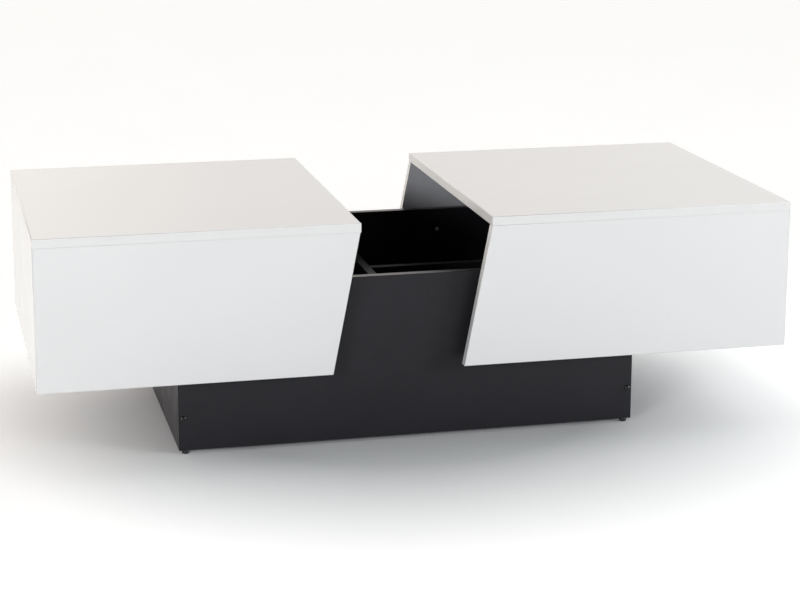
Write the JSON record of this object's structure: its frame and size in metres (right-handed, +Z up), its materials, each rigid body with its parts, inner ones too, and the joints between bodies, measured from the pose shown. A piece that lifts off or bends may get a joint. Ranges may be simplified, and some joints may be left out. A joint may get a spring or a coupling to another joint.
{
  "type": "coffee table",
  "caption": "Low rectangular coffee table: a dark storage base under two boxy white covers that slide apart along a slanted seam.",
  "frame": {"origin": "on the floor, at the middle of the open table's outline", "axes": "+X along the table's length, to the right seen from the front; -Y is the front; +Z up"},
  "size_m": [1.33, 0.6, 0.4],
  "materials": {
    "white_board": "high-gloss white foil on chipboard, plainer white inside",
    "anthracite_board": "satin anthracite melamine on chipboard",
    "raw_board": "uncoated chipboard",
    "zinc_steel": "zinc-plated",
    "dark_steel": "black burnished",
    "glide_plastic": "matte"
  },
  "bodies": {
    "base": {"base_front_panel": "anthracite_board", "base_back_panel": "anthracite_board", "base_left_panel": "anthracite_board", "base_right_panel": "anthracite_board", "base_bottom_panel": "anthracite_board", "cross_divider": "anthracite_board", "long_divider": "anthracite_board", "panel_bolt_left_front_low": "dark_steel", "panel_bolt_left_front_high": "dark_steel", "panel_bolt_left_back_low": "dark_steel", "panel_bolt_left_back_high": "dark_steel", "panel_bolt_right_front_low": "dark_steel", "panel_bolt_right_front_high": "dark_steel", "panel_bolt_right_back_low": "dark_steel", "panel_bolt_right_back_high": "dark_steel", "glide_left_front": "glide_plastic", "glide_left_back": "glide_plastic", "glide_right_front": "glide_plastic", "glide_right_back": "glide_plastic", "spacer_batten_left_front": "raw_board", "spacer_batten_left_back": "raw_board", "spacer_batten_right_front": "raw_board", "spacer_batten_right_back": "raw_board", "batten_screw_left_front_inner": "zinc_steel", "batten_screw_left_front_outer": "zinc_steel", "batten_screw_left_back_inner": "zinc_steel", "batten_screw_left_back_outer": "zinc_steel", "batten_screw_right_front_inner": "zinc_steel", "batten_screw_right_front_outer": "zinc_steel", "batten_screw_right_back_inner": "zinc_steel", "batten_screw_right_back_outer": "zinc_steel", "runner_rail_left_front": "zinc_steel", "runner_rail_left_back": "zinc_steel", "runner_rail_right_front": "zinc_steel", "runner_rail_right_back": "zinc_steel"},
    "left_cover": {"left_top": "white_board", "left_front_panel": "white_board", "left_back_panel": "white_board", "left_end_panel": "white_board", "runner_slider_left_front": "zinc_steel", "runner_slider_left_back": "zinc_steel", "cam_lock_left_front_inner": "zinc_steel", "cam_lock_left_front_outer": "zinc_steel", "cam_lock_left_back_inner": "zinc_steel", "cam_lock_left_back_outer": "zinc_steel"},
    "right_cover": {"right_top": "white_board", "right_front_panel": "white_board", "right_back_panel": "white_board", "right_end_panel": "white_board", "runner_slider_right_front": "zinc_steel", "runner_slider_right_back": "zinc_steel", "cam_lock_right_front_inner": "zinc_steel", "cam_lock_right_front_outer": "zinc_steel", "cam_lock_right_back_inner": "zinc_steel", "cam_lock_right_back_outer": "zinc_steel"},
    "left_cages": {"runner_cage_left_front": "zinc_steel", "runner_cage_left_back": "zinc_steel"},
    "right_cages": {"runner_cage_right_front": "zinc_steel", "runner_cage_right_back": "zinc_steel"}
  },
  "joints": [
    {"name": "left_cover_slide", "type": "slide", "parent": "base", "child": "left_cover", "axis": [1, 0, 0], "range_m": [-0.036, 0.0965]},
    {"name": "right_cover_slide", "type": "slide", "parent": "base", "child": "right_cover", "axis": [-1, 0, 0], "range_m": [0, 0.1325]},
    {"name": "left_cage_slide", "type": "slide", "parent": "base", "child": "left_cages", "axis": [1, 0, 0], "range_m": [-0.0182, 0.0484]},
    {"name": "right_cage_slide", "type": "slide", "parent": "base", "child": "right_cages", "axis": [-1, 0, 0], "range_m": [-0.0002, 0.0664]}
  ],
  "couplings": [
    {"joint": "left_cage_slide", "follows": "left_cover_slide", "ratio": 0.5},
    {"joint": "right_cage_slide", "follows": "right_cover_slide", "ratio": 0.5}
  ]
}
